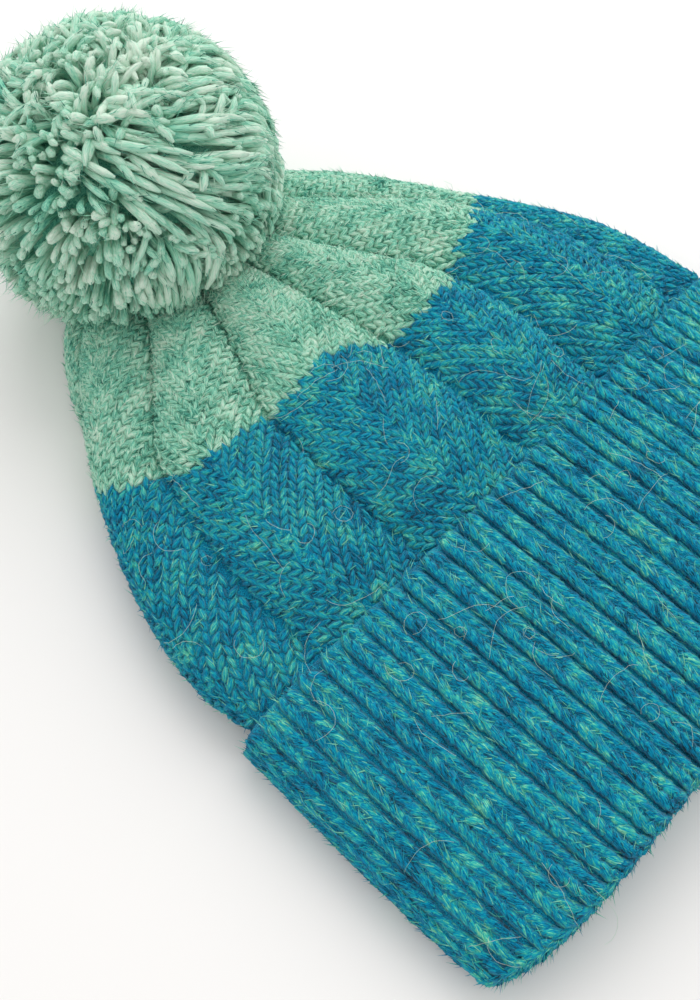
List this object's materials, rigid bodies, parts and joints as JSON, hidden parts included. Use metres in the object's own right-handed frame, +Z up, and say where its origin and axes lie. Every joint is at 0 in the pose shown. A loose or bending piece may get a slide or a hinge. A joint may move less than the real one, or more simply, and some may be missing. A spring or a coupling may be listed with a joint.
{
  "type": "knitted pompom beanie",
  "caption": "Hand-knitted beanie lying flat, with a turned-up ribbed cuff, a crown of puffed panels gathered at its end and a round yarn pompom; worn on the head for warmth.",
  "frame": {"origin": "under the middle of the whole beanie, on the surface it lies on", "axes": "+Z up, +Y along the hat from the brim to the pompom, +X across the hat"},
  "size_m": [0.22, 0.2824, 0.0894],
  "materials": {
    "blue_rib_wool": "brushed heathered wool, ribbed",
    "blue_wool": "brushed heathered wool, cabled panels",
    "green_wool": "brushed heathered wool, cabled panels",
    "pompom_yarn": "cut soft yarn"
  },
  "bodies": {
    "root": {"cuff": "blue_rib_wool", "crown_lower": "blue_wool", "crown_upper": "green_wool", "pompom": "pompom_yarn"}
  },
  "joints": []
}
